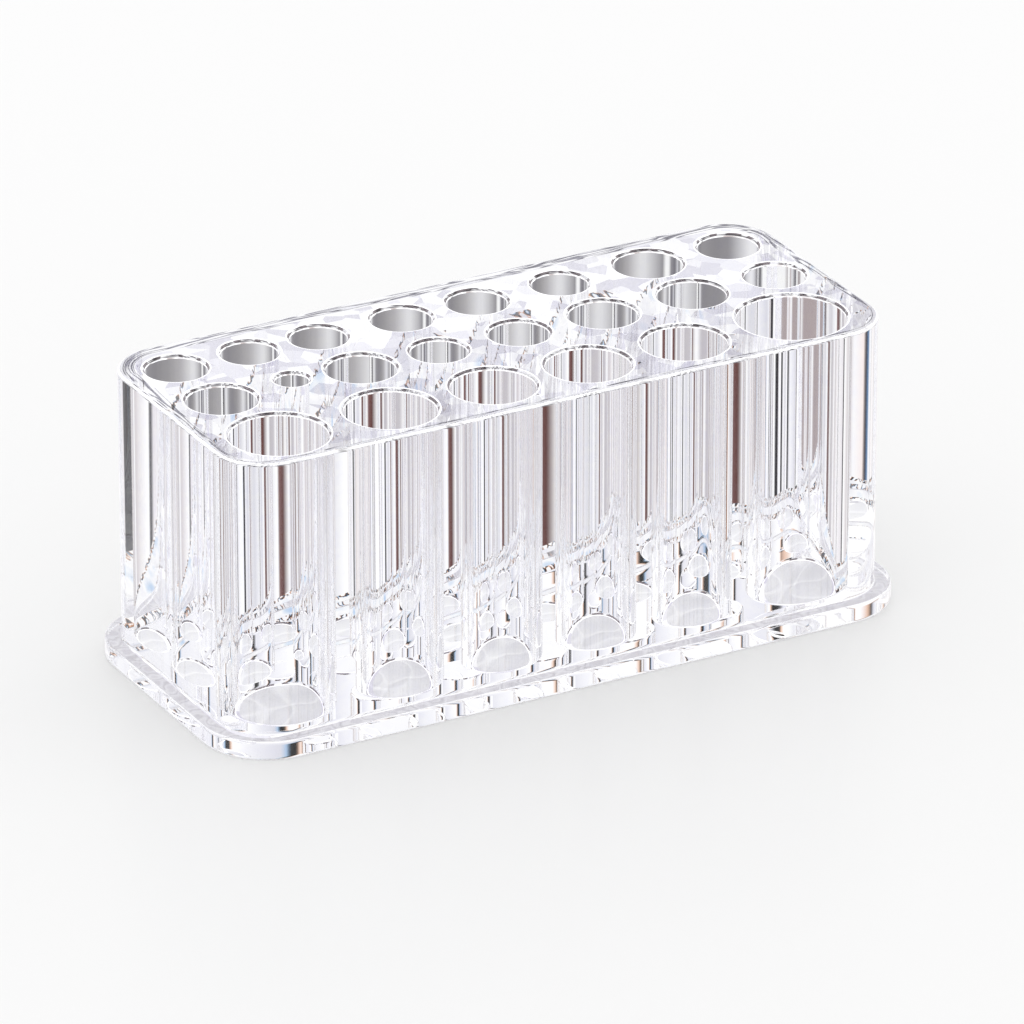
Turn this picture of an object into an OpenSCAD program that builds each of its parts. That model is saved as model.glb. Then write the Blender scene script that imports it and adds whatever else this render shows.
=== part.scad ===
// Clear acrylic makeup brush holder: a thick block with rows of round wells,
// bonded onto a flanged base plate that closes the wells and steadies the block.
// Millimetres, +Z up. The origin is the middle of the underside.
// +X runs along the length and -Y is the front, where the widest wells stand.

/* [Overall] */
// Length over the base plate
length = 135.9; // [134:0.1:160]
// Width over the base plate
width = 59.9; // [58.5:0.1:72]
// Height from the underside to the deck
height = 55.1; // [30:0.1:90]

/* [Base plate] */
// Thickness of the base plate
plate_t = 3.5; // [2:0.1:8]
// Corner radius of the base plate, seen from above
plate_corner_r = 12.5; // [9:0.1:16]
// Rounding of the plate's upper and lower edges
plate_edge_r = 0.6; // [0.2:0.1:0.9]
// Ledge left round the foot of the block
ledge = 3; // [1.5:0.1:3.4]

/* [Block] */
// Rounding of the block's top rim
rim_r = 0.8; // [0.3:0.1:1.2]

/* [Wells] */
// Rounding of each well's mouth
mouth_r = 0.7; // [0.2:0.05:0.9]
// Giant well, for powder and kabuki brushes
giant_d = 19.4; // [16:0.1:19.8]
// Large well, for face brushes
large_d = 17.3; // [14:0.1:18]
// Wide well, for blusher brushes
wide_d = 16.3; // [13:0.1:17.5]
// Medium well, for foundation brushes
medium_d = 15.1; // [12:0.1:16]
// Standard well, for contour brushes
standard_d = 12.4; // [10:0.1:13]
// Narrow well, for blending brushes
narrow_d = 10.9; // [9:0.1:12]
// Slim well, for eye brushes
slim_d = 10.2; // [8:0.1:11.5]
// Small well, for liners and pencils
small_d = 6; // [5.9:0.1:8]
// How far the giant well stands back from the line of the front row
giant_setback = 0.6; // [0.2:0.1:1]
// Flat deck left between the giant well's mouth and the block's rounded rim
front_land = 0.2; // [0.1:0.05:0.6]
// How far the small well stands back from the line of the middle row
small_setback = 1.6; // [0:0.1:2]

/* [Hidden] */
$fn = 96;

// Cutters reach this far past the face that they cut
overrun = 1;

block_l = length - 2 * ledge;
block_w = width - 2 * ledge;
block_h = height - plate_t;
block_corner_r = plate_corner_r - ledge;

// How far the front row's wells reach to the front and to the back of its line
front_reach = max(giant_d / 2 - giant_setback, large_d / 2);
rear_reach = max(giant_d / 2 + giant_setback, large_d / 2);
front_margin = rim_r + front_land + mouth_r;

// Walls behind the front, middle and back rows. The rows take their depths out of
// the block's width, and these walls share what is left.
cross_wall_shares = [1, 2.85, 4.15];
cross_free = block_w - front_margin - front_reach - rear_reach - 2 * standard_d;
function cross_wall(i) =
    cross_free * cross_wall_shares[i] / total(cross_wall_shares, len(cross_wall_shares));

front_row_y = front_margin + front_reach - block_w / 2;
middle_row_y = front_row_y + rear_reach + cross_wall(0) + standard_d / 2;
back_row_y = middle_row_y + standard_d + cross_wall(1);

// Wells of each row, from left to right: diameter and setback
front_wells = [
    [large_d, 0], [wide_d, 0], [medium_d, 0], [medium_d, 0], [medium_d, 0],
    [giant_d, giant_setback]
];
middle_wells = [
    [standard_d, 0], [small_d, small_setback], [standard_d, 0], [slim_d, 0],
    [narrow_d, 0], [standard_d, 0], [standard_d, 0], [narrow_d, 0]
];
back_wells = [
    [narrow_d, 0], [slim_d, 0], [slim_d, 0], [narrow_d, 0],
    [narrow_d, 0], [slim_d, 0], [standard_d, 0], [narrow_d, 0]
];

// Walls of each row, from the block's left side to its right side. A row's wells
// take their diameters out of the block's length, and the walls share what is left.
front_wall_shares = [4.3, 4.9, 4.5, 3.7, 4.2, 4.6, 5.4];
middle_wall_shares = [4.7, 5.4, 3.5, 4.1, 5.4, 5.2, 5.5, 5.3, 3.3];
back_wall_shares = [4.4, 3.8, 3.4, 5.9, 4.2, 6.1, 6.6, 4.6, 4.2];

function total(list, n) = n <= 0 ? 0 : list[n - 1] + total(list, n - 1);
function diameters(wells) = [for (w = wells) w[0]];

// Place of well i along its row: the walls and wells to its left, and half its own width
function well_x(wells, shares, i) =
    let (d = diameters(wells), free = block_l - total(d, len(d)))
    -block_l / 2 + free * total(shares, i + 1) / total(shares, len(shares))
    + total(d, i) + d[i] / 2;

// Each well as its place across and along the deck and its diameter
function placed(wells, shares, row_y) = [
    for (i = [0 : len(wells) - 1])
        [well_x(wells, shares, i), row_y + wells[i][1], wells[i][0]]
];

wells = concat(
    placed(front_wells, front_wall_shares, front_row_y),
    placed(middle_wells, middle_wall_shares, middle_row_y),
    placed(back_wells, back_wall_shares, back_row_y)
);

// Waste outside a quarter circle
module corner_waste(r) {
    difference() {
        square(r + overrun);
        circle(r);
    }
}

// Upright section of a slab from its middle, or a corner's axis, out to its edge,
// rounded at the top and, where low_r is given, at the bottom too
module edge_profile(reach, h, high_r, low_r) {
    difference() {
        square([reach, h]);
        translate([reach - high_r, h - high_r]) corner_waste(high_r);
        if (low_r > 0)
            translate([reach - low_r, low_r]) mirror([0, 1]) corner_waste(low_r);
    }
}

// Straight length of slab along X, whose section is edge_profile on the +Y side
module straight_edge(l, reach, h, high_r, low_r) {
    rotate([90, 0, 90]) linear_extrude(l, center = true)
        edge_profile(reach, h, high_r, low_r);
}

// Slab with round corners and rolled edges: front and back halves, the two ends
// and a quarter turn of the same section at each corner
module rolled_slab(l, w, h, corner_r, high_r, low_r = 0) {
    side_l = l - 2 * corner_r;
    end_w = w - 2 * corner_r;
    for (turn = [0, 180]) rotate([0, 0, turn]) {
        straight_edge(side_l, w / 2, h, high_r, low_r);
        translate([-side_l / 2, 0, 0]) rotate([0, 0, 90])
            straight_edge(end_w, corner_r, h, high_r, low_r);
    }
    for (x = [0, 1], y = [0, 1])
        mirror([x, 0, 0]) mirror([0, y, 0]) translate([side_l / 2, end_w / 2, 0])
            rotate_extrude(angle = 90) edge_profile(corner_r, h, high_r, low_r);
}

// Cutter for a well: its bore and, round its mouth, a quarter circle of flare
module well_cutter(d, depth) {
    rotate_extrude() {
        translate([0, -overrun]) square([d / 2, depth + 2 * overrun]);
        difference() {
            translate([d / 2, depth - mouth_r]) square([mouth_r, mouth_r + overrun]);
            translate([d / 2 + mouth_r, depth - mouth_r]) circle(mouth_r);
        }
    }
}

module base_plate() {
    color([0.93, 0.95, 0.97, 0.45])
        rolled_slab(length, width, plate_t, plate_corner_r, plate_edge_r, plate_edge_r);
}

module bored_block() {
    color([0.86, 0.9, 0.95, 0.45]) translate([0, 0, plate_t]) difference() {
        rolled_slab(block_l, block_w, block_h, block_corner_r, rim_r);
        for (w = wells) translate([w[0], w[1], 0]) well_cutter(w[2], block_h);
    }
}

base_plate();
bored_block();
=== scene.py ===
# %% [markdown]
# # A clear acrylic makeup brush holder
#
# The real holder is two pieces of clear acrylic: a thick block with 22 round wells
# bored through it, and a flanged plate bonded under it that closes the wells. In this
# lesson both are rebuilt as closed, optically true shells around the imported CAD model,
# and then lit like a product photograph on a glossy white floor. Almost everything the
# eye sees in such an object is refraction, so the surfaces, their shading normals and
# what surrounds them matter far more than surface colour.

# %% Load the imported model
from math import cos, pi, radians, sin, sqrt

import bmesh
import bpy
from mathutils import Matrix, Vector


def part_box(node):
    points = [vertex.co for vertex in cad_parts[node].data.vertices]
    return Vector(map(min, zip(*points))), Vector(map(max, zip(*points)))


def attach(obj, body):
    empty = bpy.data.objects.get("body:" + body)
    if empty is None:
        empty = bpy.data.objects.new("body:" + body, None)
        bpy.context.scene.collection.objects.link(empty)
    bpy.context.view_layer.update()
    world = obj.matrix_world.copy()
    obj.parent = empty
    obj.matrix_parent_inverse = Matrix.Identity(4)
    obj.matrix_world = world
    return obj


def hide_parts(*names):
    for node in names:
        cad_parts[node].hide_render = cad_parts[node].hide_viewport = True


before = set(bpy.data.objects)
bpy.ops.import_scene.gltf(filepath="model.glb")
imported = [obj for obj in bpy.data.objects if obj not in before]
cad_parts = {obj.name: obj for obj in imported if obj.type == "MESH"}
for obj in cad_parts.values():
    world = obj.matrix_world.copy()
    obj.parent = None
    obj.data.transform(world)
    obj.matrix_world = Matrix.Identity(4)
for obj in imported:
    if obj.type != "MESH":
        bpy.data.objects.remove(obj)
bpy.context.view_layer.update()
scene = bpy.context.scene

# %% [markdown]
# ## Measures
#
# Lengths are written in millimetres, as a maker would, and `mm` turns them to metres.
# The outside sizes come from the CAD nodes' boxes. The corner radii, the rolled edges and
# the table of wells repeat the values of the CAD source, which this file can't read. Two
# small clear fillets are added for the eye: cement that ran out round the block's foot,
# and the rounded heel that a boring tool leaves at each well's floor.

# %% Sizes of the two pieces
def mm(value):
    return value * 0.001


def box_size(node_name):
    low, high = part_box(node_name)
    return [high[i] - low[i] for i in range(3)], low[2], high[2]


(plate_l, plate_w, _), plate_floor, plate_top = box_size("base_plate")
(block_l, block_w, _), _, deck = box_size("bored_block")
plate_corner, plate_roll = mm(12.5), mm(0.6)
block_corner, rim_roll, mouth_roll = mm(9.5), mm(0.8), mm(0.7)
bond_fillet, floor_fillet = mm(0.5), mm(0.6)
print("plate", plate_l, plate_w, plate_top, "block", block_l, block_w, deck)

# %% The wells: place along, place across and diameter, in millimetres
wells = [
    (-52, -16.15, 17.3), (-30.3, -16.15, 16.3), (-10.1, -16.15, 15.1),
    (8.7, -16.15, 15.1), (28, -16.15, 15.1), (49.85, -15.55, 19.4),
    (-54.061, 1.35, 12.4), (-39.474, 2.95, 6), (-26.782, 1.35, 12.4),
    (-11.392, 1.35, 10.2), (4.546, 1.35, 10.9), (21.383, 1.35, 12.4),
    (39.27, 1.35, 12.4), (56.208, 1.35, 10.9),
    (-55.09, 16.6, 10.9), (-40.731, 16.6, 10.2), (-27.123, 16.6, 10.2),
    (-10.659, 16.6, 10.9), (4.45, 16.6, 10.9), (21.114, 16.6, 10.2),
    (39.03, 16.6, 12.4), (55.29, 16.6, 10.9),
]
wells = [(mm(x), mm(y), mm(d) / 2) for x, y, d in wells]
round_steps, corner_steps, roll_steps = 96, 24, 8
print(len(wells), "wells, from", min(w[2] for w in wells) * 2000, "to",
      max(w[2] for w in wells) * 2000, "mm across")

# %% [markdown]
# ## Modelling helpers
#
# Both slabs have round corners and rolled edges. A bevel on a box makes them: first its
# upright edges, and then the edges round its top and bottom. Loops that lie on one level
# are closed with a fill, which leaves holes where inner loops stand.

# %% Slab with round corners and rolled edges
def level(bm, z):
    """Edges that lie wholly at height z."""
    return [e for e in bm.edges if all(abs(v.co.z - z) < mm(0.001) for v in e.verts)]


def roll(bm, edges, radius, steps):
    bmesh.ops.bevel(bm, geom=edges, offset=radius, offset_type="OFFSET", segments=steps,
                    profile=0.5, affect="EDGES", material=-1)


def slab(bm, length, width, low, high, corner, top_roll, bottom_roll):
    middle = Matrix.Translation((0, 0, (low + high) / 2))
    bmesh.ops.create_cube(
        bm, size=1, matrix=middle @ Matrix.Diagonal((length, width, high - low, 1)))
    flat = set(level(bm, low) + level(bm, high))
    roll(bm, [e for e in bm.edges if e not in flat], corner, corner_steps)
    roll(bm, level(bm, high), top_roll, roll_steps)
    if bottom_roll:
        roll(bm, level(bm, low), bottom_roll, roll_steps)


def open_level(bm, z):
    """Takes the flat face at height z away and leaves its border."""
    faces = [f for f in bm.faces if all(abs(v.co.z - z) < mm(0.001) for v in f.verts)]
    bmesh.ops.delete(bm, geom=faces, context="FACES_ONLY")


def close(bm, edges, slot=0):
    """Fills the flat region between loops of edges."""
    made = bmesh.ops.triangle_fill(bm, edges=edges, use_beauty=True, use_dissolve=False)
    for f in made["geom"]:
        if isinstance(f, bmesh.types.BMFace):
            f.material_index = slot
            f.smooth = False


print("slab, roll and close are ready, with", roll_steps, "steps to a rolled edge")

# %% [markdown]
# ## Shading normals
#
# Glass shows every error of its normals. A rolled edge that blends into a tall flat wall
# would tilt the whole wall's shading, so each corner of the mesh gets the normal of the
# true shape there: level on walls, straight up or down on flat faces, and in between on
# the quarter circles.

# %% Exact normals for walls, rolls and flats
def rolled(outward, z, low, low_roll, high, high_roll):
    """Normal of a wall at height z. A roll below 0 is a fillet that runs out upwards."""
    tilt = 0
    if z > high - high_roll:
        tilt = min((z - high + high_roll) / high_roll, 1)
    if z < low + abs(low_roll):
        down = min((low + abs(low_roll) - z) / abs(low_roll), 1)
        tilt = -down if low_roll > 0 else down
    flat = outward.normalized() * sqrt(1 - tilt * tilt)
    return Vector((flat.x, flat.y, tilt))


def from_corner(co, length, width, corner):
    """Direction, seen from above, out of a slab with round corners."""
    reach = [max(abs(v) - size / 2 + corner, 0) * (1 if v > 0 else -1)
             for v, size in ((co.x, length), (co.y, width))]
    return Vector((reach[0], reach[1], 0))


def finished(bm, name, normal_at, materials):
    """Turns a shaped bmesh into an object with true normals."""
    bmesh.ops.recalc_face_normals(bm, faces=bm.faces)
    gaps = sum(not e.is_manifold for e in bm.edges)
    mesh = bpy.data.meshes.new(name)
    bm.to_mesh(mesh)
    bm.free()
    normals = [normal_at(mesh.vertices[mesh.loops[i].vertex_index].co)
               if face.use_smooth else face.normal.copy()
               for face in mesh.polygons for i in face.loop_indices]
    mesh.shade_smooth()
    mesh.normals_split_custom_set(normals)
    for material in materials:
        mesh.materials.append(material)
    piece = bpy.data.objects.new(name, mesh)
    scene.collection.objects.link(piece)
    print(name, len(mesh.polygons), "faces,", gaps, "open edges")
    return piece


halfway = rolled(Vector((1, 0, 0)), deck - rim_roll / 2, plate_top, -bond_fillet, deck, rim_roll)
print("normal halfway up the rolled rim:", [round(v, 3) for v in halfway])

# %% [markdown]
# ## Clear acrylic
#
# Acrylic, or PMMA, is as clear as water. The block is cast, bored and flame polished: its
# surface has no grain, but polishing leaves shallow waves some 9 mm long and less than a
# micrometre high, which make the stripes seen through the walls waver. Dust and handling
# leave a faint haze in patches. The plate is cut from cast sheet, with longer waves.
#
# All of it could be one glass material with acrylic's own index of 1.49. In a block with
# 22 holes, that index holds most light inside and turns the picture into fine grey
# confetti, where the real block shows broad calm stripes. So the index starts at 1.49 and
# is matched for each surface: 1.25 for the outer faces and the wide wells, 1.05 for the
# narrow wells, whose far walls stay calm and grey, and 1.49 for the rolled edges, which
# need its strong bend for their bright lines.

# %% Colour and node helpers
def linear(code):
    """sRGB hex to the linear colour that shaders use."""
    parts = [int(code[i:i + 2], 16) / 255 for i in (0, 2, 4)]
    return [p / 12.92 if p <= 0.04045 else ((p + 0.055) / 1.055) ** 2.4 for p in parts] + [1]


def add(tree, kind, inputs=(), stops=(), **settings):
    """Adds a node. An input is a value or another node's output; stops colour a ramp."""
    node = tree.nodes.new(kind)
    for key, value in settings.items():
        setattr(node, key, value)
    for key, value in dict(inputs).items():
        if isinstance(value, bpy.types.NodeSocket):
            tree.links.new(value, node.inputs[key])
        else:
            node.inputs[key].default_value = value
    for i, (place, code) in enumerate(stops):
        marks = node.color_ramp.elements
        if i == 0:
            marks.remove(marks[-1])
        mark = marks[0] if i == 0 else marks.new(place)
        mark.position, mark.color = place, linear(code)
    return node


def new_material(name):
    material = bpy.data.materials.new(name)
    material.use_nodes = True
    material.node_tree.nodes.clear()
    return material, material.node_tree


print("linear 808080 is", round(linear("808080")[0], 4))

# %% Flame-polished acrylic
def mottled(tree, place, size, stops, detail=1.0):
    """A colour that changes in soft patches of one size."""
    patches = add(tree, "ShaderNodeTexNoise", {
        "Vector": place, "Scale": 1 / size, "Detail": detail})
    return add(tree, "ShaderNodeValToRGB", {"Fac": patches.outputs["Fac"]},
               stops=stops).outputs["Color"]


def faceted(tree, place, size, stops):
    """A colour that changes from one crisp facet to the next."""
    cells = add(tree, "ShaderNodeTexVoronoi", {"Vector": place, "Scale": 1 / size})
    return add(tree, "ShaderNodeValToRGB", {"Fac": cells.outputs["Color"]},
               stops=stops).outputs["Color"]


def clear_acrylic(name, wave_length, bending, colour_at, glow=0.0):
    material, tree = new_material(name)
    place = add(tree, "ShaderNodeTexCoord").outputs["Object"]
    # Polishing waves, 0.6 micrometres high: they only bend stripes.
    waves = add(tree, "ShaderNodeTexNoise", {
        "Vector": place, "Scale": 1 / wave_length, "Detail": 1.0, "Roughness": 0.4})
    bump = add(tree, "ShaderNodeBump", {
        "Height": waves.outputs["Fac"], "Strength": 1.0, "Distance": mm(0.0006)})
    # Handling haze: patches of 15 mm, from perfectly clear to barely softened.
    haze = add(tree, "ShaderNodeTexNoise", {
        "Vector": place, "Scale": 1 / mm(15), "Detail": 2.0})
    rough = add(tree, "ShaderNodeMapRange", {
        "Value": haze.outputs["Fac"], "From Min": 0.55, "From Max": 0.8,
        "To Min": 0.0, "To Max": 0.005})
    acrylic = add(tree, "ShaderNodeBsdfPrincipled", {
        "Base Color": colour_at(tree, place), "Roughness": rough.outputs["Result"],
        "IOR": bending, "Transmission Weight": 1.0, "Normal": bump.outputs["Normal"],
        "Emission Color": linear("FFFFFF"), "Emission Strength": glow})
    add(tree, "ShaderNodeOutputMaterial", {"Surface": acrylic.outputs["BSDF"]})
    return material


def faint_violet(tree, place):
    """The sheet's own breath of blue-violet, in patches of 1.6 mm."""
    return mottled(tree, place, mm(1.6), [(0.46, "FFFFFF"), (0.54, "FDFDFF")], 0.0)


block_acrylic = clear_acrylic("cast_acrylic_flame_polished", mm(9), 1.25, faint_violet)
plate_acrylic = clear_acrylic("cast_acrylic_sheet_flame_polished", mm(14), 1.25, faint_violet)
wide_bore = clear_acrylic("bored_acrylic_wide_wells", mm(12), 1.25, faint_violet)
narrow_bore = clear_acrylic("bored_acrylic_narrow_wells", mm(12), 1.05, faint_violet)
print("made", block_acrylic.name, "and", plate_acrylic.name)

# %% [markdown]
# ## Edges that glow
#
# Acrylic pipes light through its body and lets it out at its edges, which gives each mouth a
# bright thread and the rim a clean white line. Traced light finds these paths too rarely, so
# narrow strips of the rolled edges glow a little by themselves as painted highlight. Beside each
# mouth's thread lie dark dashes, and the strip between the bright strips carries them as painted
# shade, a dark tint.

# %% Rolled edges
def painted_mouth_dashes(tree, place):
    """Painted shade: clear and dark brown-grey in turn, in patches of 1.6 mm."""
    return mottled(tree, place, mm(1.6), [(0.46, "FFFFFF"), (0.54, "4A4044")], 0.0)


mouth_acrylic = clear_acrylic("flame_polished_mouth_roll_painted_dashes", mm(12), 1.49, painted_mouth_dashes)
# Painted highlight: the lip glows though no lamp is there.
lip_glow = 0.45
lip_acrylic = clear_acrylic(
    "flame_polished_lip_painted_glow", mm(12), 1.49, faint_violet, lip_glow)
print("the lip glows at", lip_glow, "of white")

# %% [markdown]
# ## What the deck and the well floors show
#
# Through the deck one sees the rim's far wall as a band of thin grey and lavender streaks along
# the edge, and further in the walls of the wells as pale facets. Both are painted reflections in
# the deck's colour. The streaks follow the rim, so the material measures how far each point lies
# inside the rounded outline.
# The end of each wide bore carries painted shade, in broad pale grey clouds with a brighter arc
# of painted highlight.

# %% Deck and well floors
def painted_rim_reflections(tree, place):
    # How far a point lies past the straight parts of the deck's edge, and inside its rim.
    turn = block_corner - rim_roll
    straight = (block_l / 2 - block_corner, block_w / 2 - block_corner, 1)
    away = add(tree, "ShaderNodeVectorMath", {0: place}, operation="ABSOLUTE")
    over = add(tree, "ShaderNodeVectorMath", {0: away.outputs["Vector"], 1: straight},
               operation="SUBTRACT")
    past = add(tree, "ShaderNodeVectorMath", {0: over.outputs["Vector"], 1: (0, 0, 0)},
               operation="MAXIMUM")
    reach = add(tree, "ShaderNodeVectorMath", {0: past.outputs["Vector"]}, operation="LENGTH")
    inward = add(tree, "ShaderNodeMath", {0: turn, 1: reach.outputs["Value"]},
                 operation="SUBTRACT").outputs["Value"]
    # Painted reflections of the rim's far wall: streaks some 16 mm long and 1.4 mm wide.
    along = add(tree, "ShaderNodeVectorMath", {0: place, 1: (1 / mm(16), -1 / mm(16), 0)},
                operation="DOT_PRODUCT")
    across = add(tree, "ShaderNodeMath", {0: inward, 1: mm(1.4)}, operation="DIVIDE")
    by_rim = add(tree, "ShaderNodeCombineXYZ", {
        "X": along.outputs["Value"], "Y": across.outputs["Value"]})
    streaks = mottled(tree, by_rim.outputs["Vector"], 1, [
        (0.36, "E8E8F0"), (0.39, "16141E"), (0.43, "5A5864"), (0.46, "FFFFFF"),
        (0.49, "FFFFFF"), (0.51, "201E2A"), (0.55, "6A6876"), (0.58, "FFFFFF")])
    # The band of painted reflection narrows from 2.4 mm at the back to 0.5 mm at the front.
    across_block = add(tree, "ShaderNodeSeparateXYZ", {"Vector": place}).outputs["Y"]
    band = add(tree, "ShaderNodeMapRange", {
        "Value": across_block, "From Min": mm(-20), "From Max": mm(20),
        "To Min": mm(0.5), "To Max": mm(2.4)})
    share = add(tree, "ShaderNodeMath", {0: inward, 1: band.outputs["Result"]},
                operation="DIVIDE")
    inside = add(tree, "ShaderNodeMapRange", {
        "Value": share.outputs["Value"], "From Min": 0.95, "From Max": 1.05})
    return streaks, inside.outputs["Result"]


def deck_painted_reflections(tree, place):
    # Painted reflections: the rim's streaks near the edge, and pale facets of the wells' walls
    # further in.
    streaks, inside = painted_rim_reflections(tree, place)
    facets = faceted(tree, place, mm(3.5), [
        (0.28, "C6C4D2"), (0.34, "DEDDE8"), (0.38, "FFFFFF"), (0.56, "FFFFFF"),
        (0.60, "E6E5EE"), (0.66, "D6D5E0"), (0.70, "FFFFFF")])
    return add(tree, "ShaderNodeMix", {"Factor": inside, "A": streaks, "B": facets},
               data_type="RGBA").outputs["Result"]


def painted_floor_shade(tree, place):
    """Painted shade in pale grey clouds 16 mm wide, with a brighter arc of painted highlight
    between them.
    """
    return mottled(tree, place, mm(16), [
        (0.36, "D8D7DC"), (0.47, "E2E1E5"), (0.50, "F6F6F8"), (0.52, "E0DFE4"),
        (0.66, "EAE9ED")], 0.0)


deck_acrylic = clear_acrylic("flame_polished_deck_with_painted_rim_reflections", mm(9), 1.25, deck_painted_reflections)
floor_acrylic = clear_acrylic("bored_well_floor_painted_shade", mm(14), 1.25, painted_floor_shade)
print("made", deck_acrylic.name, "and", floor_acrylic.name)

# %% [markdown]
# ## Solvent bond
#
# Acrylic is joined with a solvent that melts the two faces into one. Light passes a good
# bond as if nothing were there, so the faces that touch let it through unbent.

# %% The bond between the two pieces
solvent_bond, bond_tree = new_material("clear_acrylic_solvent_bond")
through = add(bond_tree, "ShaderNodeBsdfTransparent", {"Color": linear("FFFFFF")})
add(bond_tree, "ShaderNodeOutputMaterial", {"Surface": through.outputs["BSDF"]})
print("made", solvent_bond.name)

# %% [markdown]
# ## Bored block
#
# Each well is turned. Its section is one upright edge with a quarter circle of flare at
# the mouth and a small one at the heel, and `spin` takes it once round the well's axis.
# The deck and the foot are then filled round the loops that the wells leave there.

# %% Turn one well
BODY, BOND, WIDE, NARROW, MOUTH, LIP, DECK = range(7)
block_finishes_and_painted_light = [block_acrylic, solvent_bond, wide_bore, narrow_bore, mouth_acrylic,
                  lip_acrylic, deck_acrylic]


def well_finish_or_painted_light(y, z):
    """Painted glow at the very ends of a mouth or heel, painted shade in dark dashes between
    them, plain elsewhere.
    """
    rise = (z - deck + mouth_roll) / mouth_roll
    drop = (plate_top + floor_fillet - z) / floor_fillet
    if drop > 0.9 or 0 < rise < 0.45 or rise > 0.95:
        return LIP
    if rise > 0 or drop > 0.5:
        return MOUTH
    return WIDE if y < 0 else NARROW


def turn_well(bm, x, y, radius):
    section = bmesh.new()
    heel = section.verts.new((x + radius, y, plate_top + floor_fillet))
    shoulder = section.verts.new((x + radius, y, deck - mouth_roll))
    section.edges.new((heel, shoulder))
    for end, offset in ((shoulder, mouth_roll), (heel, -floor_fillet)):
        bmesh.ops.spin(section, geom=[end], cent=(x + radius + offset, y, end.co.z),
                       axis=(0, 1, 0), angle=pi / 2, steps=roll_steps)
    bmesh.ops.spin(section, geom=section.verts[:] + section.edges[:], cent=(x, y, 0),
                   axis=(0, 0, 1), angle=2 * pi, steps=round_steps, use_merge=True)
    for f in section.faces:
        f.material_index = well_finish_or_painted_light(y, f.calc_center_median().z)
    turned = bpy.data.meshes.new("turned_well")
    section.to_mesh(turned)
    section.free()
    bm.from_mesh(turned)
    bpy.data.meshes.remove(turned)


def block_normal(co):
    for x, y, radius in wells:
        spoke = Vector((x - co.x, y - co.y, 0))
        if spoke.length < radius + mouth_roll + mm(0.05):
            return rolled(spoke, co.z, plate_top, -floor_fillet, deck, mouth_roll)
    return rolled(from_corner(co, block_l, block_w, block_corner),
                  co.z, plate_top, -bond_fillet, deck, rim_roll)


def outer_fillet(bm):
    """Draws the open foot of the walls down and outwards in a quarter circle."""
    line = level(bm, plate_top + bond_fillet)
    for step in range(1, roll_steps + 1):
        turn = pi / 2 * step / roll_steps
        grown = bmesh.ops.extrude_edge_only(bm, edges=line)["geom"]
        line = [g for g in grown if isinstance(g, bmesh.types.BMEdge)]
        for v in {v for e in line for v in e.verts}:
            out = from_corner(v.co, block_l, block_w, block_corner).normalized()
            before = 1 - cos(turn - pi / 2 / roll_steps)
            v.co += out * bond_fillet * (1 - cos(turn) - before)
            v.co.z = plate_top + bond_fillet * (1 - sin(turn))


print("high on its roll a mouth gets", block_finishes_and_painted_light[well_finish_or_painted_light(-1, deck - mm(0.3))].name)

# %% Build the block
shape = bmesh.new()
slab(shape, block_l, block_w, plate_top + bond_fillet, deck, block_corner, rim_roll, 0)
open_level(shape, plate_top + bond_fillet)
open_level(shape, deck)
outer_fillet(shape)
# A strip high on the rim's roll gets the lip's painted glow, for the rim's white line.
for face in shape.faces:
    rise = (face.calc_center_median().z - deck + rim_roll) / rim_roll
    if 0.35 < rise < 0.87:
        face.material_index = LIP
for well in wells:
    turn_well(shape, *well)
for face in shape.faces:
    face.smooth = True
close(shape, level(shape, deck), slot=DECK)
close(shape, level(shape, plate_top), slot=BOND)
block = finished(shape, "bored_acrylic_block", block_normal, block_finishes_and_painted_light)

# %% [markdown]
# ## Base plate
#
# The plate's top is three regions that lie level: the ledge round the block's foot, the
# bonded face under the block, and the floors of the wells. The foot's outline and the
# wells' circles are drawn on it first, and each region is filled for itself.

# %% Build the plate
def plate_normal(co):
    return rolled(from_corner(co, plate_l, plate_w, plate_corner),
                  co.z, plate_floor, plate_roll, plate_top, plate_roll)


def at_height(z):
    return Matrix.Translation((0, 0, z))


WELL_FLOOR = 2
shape = bmesh.new()
slab(shape, plate_l, plate_w, plate_floor, plate_top, plate_corner, plate_roll, plate_roll)
for face in shape.faces:
    face.smooth = len(face.verts) == 4
open_level(shape, plate_top)
rim = level(shape, plate_top)

foot_l, foot_w = block_l + 2 * bond_fillet, block_w + 2 * bond_fillet
foot_line = bmesh.ops.create_grid(
    shape, x_segments=1, y_segments=1, size=0.5,
    matrix=at_height(plate_top) @ Matrix.Diagonal((foot_l, foot_w, 1, 1)))
bmesh.ops.bevel(shape, geom=foot_line["verts"], offset=block_corner + bond_fillet,
                offset_type="OFFSET", segments=corner_steps, profile=0.5,
                affect="VERTICES", material=-1)
open_level(shape, plate_top)
foot = [e for e in level(shape, plate_top) if e not in set(rim)]
close(shape, rim + foot)
circles = []
for x, y, radius in wells:
    ring = bmesh.ops.create_circle(
        shape, cap_ends=False, segments=round_steps, radius=radius - floor_fillet,
        matrix=Matrix.Translation((x, y, plate_top)))
    circles.append(list({e for v in ring["verts"] for e in v.link_edges}))
close(shape, foot + [e for circle in circles for e in circle], slot=BOND)
for circle, (x, y, radius) in zip(circles, wells):
    close(shape, circle, slot=WELL_FLOOR if y < 0 else BODY)
plate = finished(shape, "flanged_acrylic_base", plate_normal,
                 [plate_acrylic, solvent_bond, floor_acrylic])

# %% Tie both pieces to the frame
for piece, node in ((block, "bored_block"), (plate, "base_plate")):
    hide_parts(node)
    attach(piece, "root")
    print(piece.name, "stands for", node)

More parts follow.
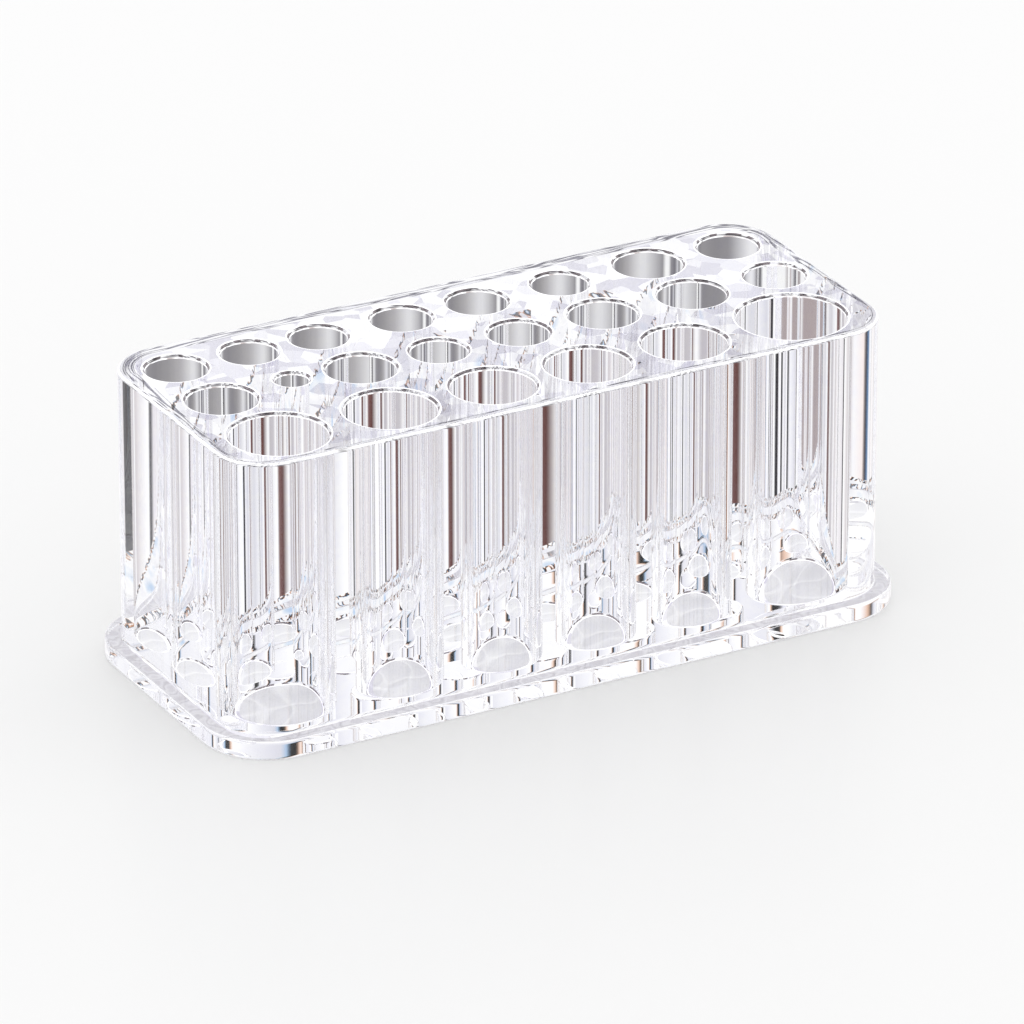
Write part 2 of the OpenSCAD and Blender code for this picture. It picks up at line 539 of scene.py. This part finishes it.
# %% [markdown]
# ## Floor
#
# The holder stands on a glossy white floor. The camera sees only that plain floor. Light that
# leaves the acrylic downwards meets a few thin glowing sheets instead, just under the plate,
# which hold painted light and shade: a white table with faint grey marks of painted shade, grey
# light below the ledge, round spots below the wells, and the broken line of painted shadow and
# blue and orange glints that clear plastic throws beside itself.

# %% Plain glossy floor
def flat_sheet(name, length, width, z, material):
    bm = bmesh.new()
    bmesh.ops.create_grid(bm, x_segments=1, y_segments=1, size=0.5,
                          matrix=at_height(z) @ Matrix.Diagonal((length, width, 1, 1)))
    mesh = bpy.data.meshes.new(name)
    bm.to_mesh(mesh)
    bm.free()
    mesh.materials.append(material)
    made = bpy.data.objects.new(name, mesh)
    scene.collection.objects.link(made)
    return made


floor_paint, floor_tree = new_material("glossy_white_lacquer")
lacquer = add(floor_tree, "ShaderNodeBsdfPrincipled", {
    "Base Color": linear("C4C4C4"), "Roughness": 0.25, "IOR": 1.3,
    "Emission Color": linear("FFFFFF"), "Emission Strength": 0.34})
add(floor_tree, "ShaderNodeOutputMaterial", {"Surface": lacquer.outputs["BSDF"]})
floor_side, floor_drop = 6, 0.1
floor = flat_sheet("studio_floor", floor_side, floor_side, mm(-floor_drop), floor_paint)
floor.visible_transmission = False
floor.visible_glossy = False
print(floor.name, "lies", floor_drop, "mm below the plate")


# %% Paints for what lies under the plate
def glow_paint(name, pattern, size, stops, strength=1.0):
    """Lit paint in a pattern of one size."""
    material, tree = new_material(name)
    place = add(tree, "ShaderNodeTexCoord").outputs["Object"]
    shine = add(tree, "ShaderNodeEmission", {
        "Color": pattern(tree, place, size, stops), "Strength": strength})
    add(tree, "ShaderNodeOutputMaterial", {"Surface": shine.outputs["Emission"]})
    return material


# The table's pale grey facets are painted shade under the block.
table_paint = glow_paint("table_seen_through_the_block", faceted, mm(5), [
    (0.28, "D6D4E0"), (0.34, "E2E1EA"), (0.40, "FFFFFF"), (0.58, "FFFFFF"),
    (0.62, "E4E3EC"), (0.68, "DAD8E2"), (0.72, "FFFFFF")], 1.15)
shadow_line = glow_paint("shadow_line_beside_the_plate", mottled, mm(2), [
    (0.40, "FFFFFF"), (0.42, "A8CBEE"), (0.44, "3A3C46"), (0.50, "4A403E"),
    (0.53, "E0A884"), (0.55, "FFFFFF")])
thrown_light = glow_paint("light_thrown_beside_the_plate", mottled, mm(8), [
    (0.3, "BFD6F0"), (0.45, "FFFFFF"), (0.6, "F2F2F6")])
well_light = glow_paint("grey_light_under_the_wells", mottled, mm(14), [
    (0.35, "E8E8EA"), (0.47, "F0F0F2"), (0.50, "FFFFFF"), (0.53, "ECECEE"),
    (0.65, "F4F4F6")])
ledge_light = glow_paint("grey_light_under_the_ledge", mottled, mm(4), [
    (0.35, "CCCAD0"), (0.45, "DCDBE0"), (0.50, "C4C2C8"), (0.57, "E0DFE4"),
    (0.65, "D0CED4")], 1.05)
print("paints:", ", ".join(paint.name for paint in (
    table_paint, shadow_line, thrown_light, well_light, ledge_light)))


# %% Lay the sheets under the plate
def rounded_sheet(name, length, width, corner, z, material):
    """A flat sheet with round corners that only light from inside the acrylic meets."""
    sheet = flat_sheet(name, length, width, z, material)
    bm = bmesh.new()
    bm.from_mesh(sheet.data)
    bmesh.ops.bevel(bm, geom=bm.verts[:], offset=corner, offset_type="OFFSET",
                    segments=corner_steps, profile=0.5, affect="VERTICES", material=-1)
    bm.to_mesh(sheet.data)
    bm.free()
    for ray in ("camera", "diffuse", "glossy", "volume_scatter", "shadow"):
        setattr(sheet, "visible_" + ray, False)
    return sheet


for name, wider, z, paint in (
        ("outer_shadow", mm(17.8), mm(-0.08), shadow_line),
        ("thrown_light", mm(15), mm(-0.07), thrown_light),
        ("inner_shadow", mm(4), mm(-0.065), shadow_line),
        ("lit_ledge", 0, mm(-0.06), ledge_light)):
    rounded_sheet(name, plate_l + wider, plate_w + wider, plate_corner + wider / 2, z, paint)
rounded_sheet("lit_table", block_l - mm(3), block_w - mm(5.5), block_corner - mm(2),
              mm(-0.05), table_paint)
# The plate bends the view, so each spot lies a little further back than its well.
for i, (x, y, radius) in enumerate(wells):
    size = 2 * radius - mm(0.4)
    spot = rounded_sheet("lit_well_%02d" % i, size, size, size * 0.499, mm(-0.04), well_light)
    spot.location = (x + mm(1.8), y + mm(3.2), 0)
print("laid 5 sheets and", len(wells), "spots")

# %% [markdown]
# ## Studio
#
# Every stripe in the block is the studio seen through it. The world holds that studio as
# belts of colour round the horizon, and which belt a ray meets depends on how steeply it
# leaves the block. Rays from the wide wells and the front face go down a little less
# steeply than rays from the narrow wells, so each gets a belt of its own: soft greys for
# the narrow wells, and white with grey, brown and black stripes for the front. A third
# belt is for rays that bounced so often that they only carry a slow change of tone, and a
# fourth, above the horizon, is what the floor mirrors into the foot of the block: thin
# dark lines with the blue and orange edges that acrylic's dispersion gives them.
#
# Only light that has passed through acrylic sees the belts. For everything else the
# studio is plain soft white, so the floor stays neutral from every side.

# %% World
studio = bpy.data.worlds.new("white_studio")
scene.world = studio
studio.use_nodes = True
sky = studio.node_tree
sky.nodes.clear()
toward = add(sky, "ShaderNodeTexCoord").outputs["Generated"]
direction = add(sky, "ShaderNodeSeparateXYZ", {"Vector": toward})
bearing = add(sky, "ShaderNodeMath", {0: direction.outputs["Y"], 1: direction.outputs["X"]},
              operation="ARCTAN2")
# Half turns from -30 degrees, and the part of the present one.
half_turns = add(sky, "ShaderNodeMath", {0: bearing.outputs["Value"], 1: 1 / pi, 2: 1 / 6},
                 operation="MULTIPLY_ADD")
around = add(sky, "ShaderNodeMath", {0: half_turns.outputs["Value"]}, operation="FRACT")
path = add(sky, "ShaderNodeLightPath")
height, bounces = direction.outputs["Z"], path.outputs["Ray Depth"]
print("the belts repeat each half turn, so the back looks as rich as the front")


# %% Belts of colour
def belt(bearings):
    """Colours at bearings in degrees, from -30 to 150, from +X towards +Y."""
    return add(sky, "ShaderNodeValToRGB", {"Fac": around.outputs["Value"]},
               stops=[((degrees + 30) / 180, code) for degrees, code in bearings]
               ).outputs["Color"]


def blend(value, low, high, under, over):
    """Goes from one colour to another as a value grows."""
    step = add(sky, "ShaderNodeMapRange", {"Value": value, "From Min": low, "From Max": high},
               interpolation_type="SMOOTHSTEP")
    mix = add(sky, "ShaderNodeMix", {
        "Factor": step.outputs["Result"], "A": under, "B": over}, data_type="RGBA")
    return mix.outputs["Result"]


narrow_wells_view = belt([
    (-30, "F0F0F0"), (-18, "F4F4F4"), (-12, "5C5A5E"), (-4, "E8E8EA"), (20, "F0F0F2"),
    (25, "8E8C90"), (28, "CCCCCE"), (33, "F0F0F2"), (38.5, "D8D8DA"), (40.5, "66646A"),
    (42, "D0D0D4"), (43.5, "706E74"), (45.3, "8E8C92"), (46, "F4F4F4"), (46.7, "F0F0F0"),
    (47.3, "8E8C90"), (50.5, "DEDEE0"), (53, "ACAAAC"), (55, "949294"), (58, "868488"),
    (61, "8E8C90"), (66, "E8E8EA"), (74, "3A363A"), (78, "56545A"), (82, "F4F4F4"),
    (112, "F0F0F0"), (117, "B4A8A8"), (121, "DCDCDE"), (127, "545058"), (129, "F4F4F4"),
    (132, "8A8082"), (136, "F0F0F0")])
front_view = belt([
    (-30, "FFFFFF"), (-22, "96B9DC"), (-18, "1E1C24"), (-8, "241E20"), (-3, "BE8C6E"),
    (1, "FFFFFF"), (17.5, "E4E0E4"), (19.6, "1E1C22"), (21, "1E1C22"), (22, "FFFFFF"),
    (36, "D2CCCE"), (39, "D6D2D4"), (41, "FFFFFF"), (47, "C4C0C4"), (52, "BEBABE"),
    (54, "FFFFFF"), (59, "5A3632"), (62, "7A5856"), (63.5, "FFFFFF"), (71, "D6D6DC"),
    (79, "F4F4F6"), (81, "1E1C22"), (84, "1E1C22"), (86, "FFFFFF"), (103, "F0F0F4"),
    (105, "5A80A8"), (107, "2A1C1C"), (109, "F4E8E4"), (118, "F4F4F6"), (121, "C8BEBE"),
    (129, "F8F8FA"), (133, "A89C9C")])
many_bounces_view = belt([
    (-30, "DCDCE0"), (-20, "BCBAC0"), (-8, "726E76"),
    (6, "4A4044"), (20, "887A7A"), (38, "D4CECE"), (55, "FFFFFF"), (75, "C0BCC0"),
    (100, "A09092"), (120, "DCDCE0"), (140, "FFFFFF"), (149, "F0F0F4")])
mirrored_lines = belt([
    (-11, "FFFFFF"), (-9, "A8C6E6"), (-7.8, "282828"), (-5.3, "1E1E1E"), (-4.6, "E4BCA2"),
    (-3, "FAFAFA"), (31, "E8E8EE"), (32.5, "A0BEDC"), (33.2, "323232"), (35.6, "2D2D2D"),
    (36.3, "E6C0A8"), (37.6, "FFFFFF"), (51, "D8D8E0"), (52.5, "A0BEDC"), (53.2, "323232"),
    (55.6, "2D2D2D"), (56.3, "E6C0A8"), (57.6, "FFFFFF"), (71, "E0E0E8"), (73, "323232"),
    (75.4, "2D2D2D"), (76.1, "E6C0A8"), (77.6, "FFFFFF"), (97, "D4D4DC"), (99, "323232"),
    (101, "E6C0A8"), (103, "FFFFFF")])
print("made 4 belts")

# %% Stack the belts by height
white = linear("FFFFFF")
# Patches some 4 degrees across break the mirrored lines into short marks.
gaps = add(sky, "ShaderNodeTexNoise", {"Vector": toward, "Scale": 16.0, "Detail": 1.0})
short_marks = blend(gaps.outputs["Fac"], 0.66, 0.70, mirrored_lines, linear("FAFAFC"))
# Steeply down there are bars of light, which break the rolled edges' lines into dashes.
twenty = add(sky, "ShaderNodeMath", {0: bearing.outputs["Value"], 1: 20.0},
             operation="MULTIPLY")
swing = add(sky, "ShaderNodeMath", {0: twenty.outputs["Value"]}, operation="SINE")
bars = blend(swing.outputs["Value"], -0.2, 0.2, linear("5E5A62"), white)
steep = blend(height, -0.80, -0.76, linear("FBFBFD"), bars)
stripes = blend(height, -0.47, -0.45, narrow_wells_view, front_view)
level_view = blend(bounces, 11.5, 18, stripes, many_bounces_view)
near_floor = blend(height, -0.68, -0.62, steep, level_view)
horizon = blend(height, -0.03, 0.03, near_floor, short_marks)
belts = blend(height, 0.55, 0.75, horizon, white)
seen = blend(path.outputs["Is Transmission Ray"], 0.4, 0.6, white, belts)
light = add(sky, "ShaderNodeBackground", {"Color": seen, "Strength": 1.08})
add(sky, "ShaderNodeOutputWorld", {"Surface": light.outputs["Background"]})
print("the studio shines at", light.inputs["Strength"].default_value)

# %% [markdown]
# ## Camera
#
# A long lens from above the left front corner. The bearing, height and distance were
# fitted to the edges of the deck and of the plate.

# %% Camera
bearing_deg, rise_deg, distance = -28.645, 25.140, mm(1870.988)
focal_px, picture_px = 10631.918, 1024
turn, rise = radians(bearing_deg), radians(rise_deg)
ahead = Vector((-sin(turn) * cos(rise), cos(turn) * cos(rise), -sin(rise)))
right = Vector((cos(turn), sin(turn), 0))
up = right.cross(ahead)
aim = right * mm(2.118) + up * mm(-4.644) + Vector((0, 0, mm(27)))
lens = bpy.data.cameras.new("long_lens")
camera = bpy.data.objects.new("long_lens", lens)
scene.collection.objects.link(camera)
camera.matrix_world = (Matrix.Translation(aim - ahead * distance)
                       @ Matrix((right, up, -ahead)).transposed().to_4x4())
lens.sensor_width = 36
lens.lens = focal_px * lens.sensor_width / picture_px
lens.clip_end = 100
scene.camera = camera
print("lens", round(lens.lens, 1), "mm at", round(distance, 2), "m")

# %% [markdown]
# ## Light paths
#
# A ray may cross a dozen walls before it leaves the block, so it is allowed 64 bounces;
# fewer would leave black spots. Colours are shown plainly, as in a catalogue picture.

# %% Light paths and tone
scene.cycles.max_bounces = 64
scene.cycles.transmission_bounces = 64
scene.cycles.glossy_bounces = 64
scene.cycles.diffuse_bounces = 4
scene.cycles.transparent_max_bounces = 64
scene.cycles.use_denoising = True
scene.view_settings.view_transform = "Standard"
print("bounces:", scene.cycles.max_bounces, "tone:", scene.view_settings.view_transform)
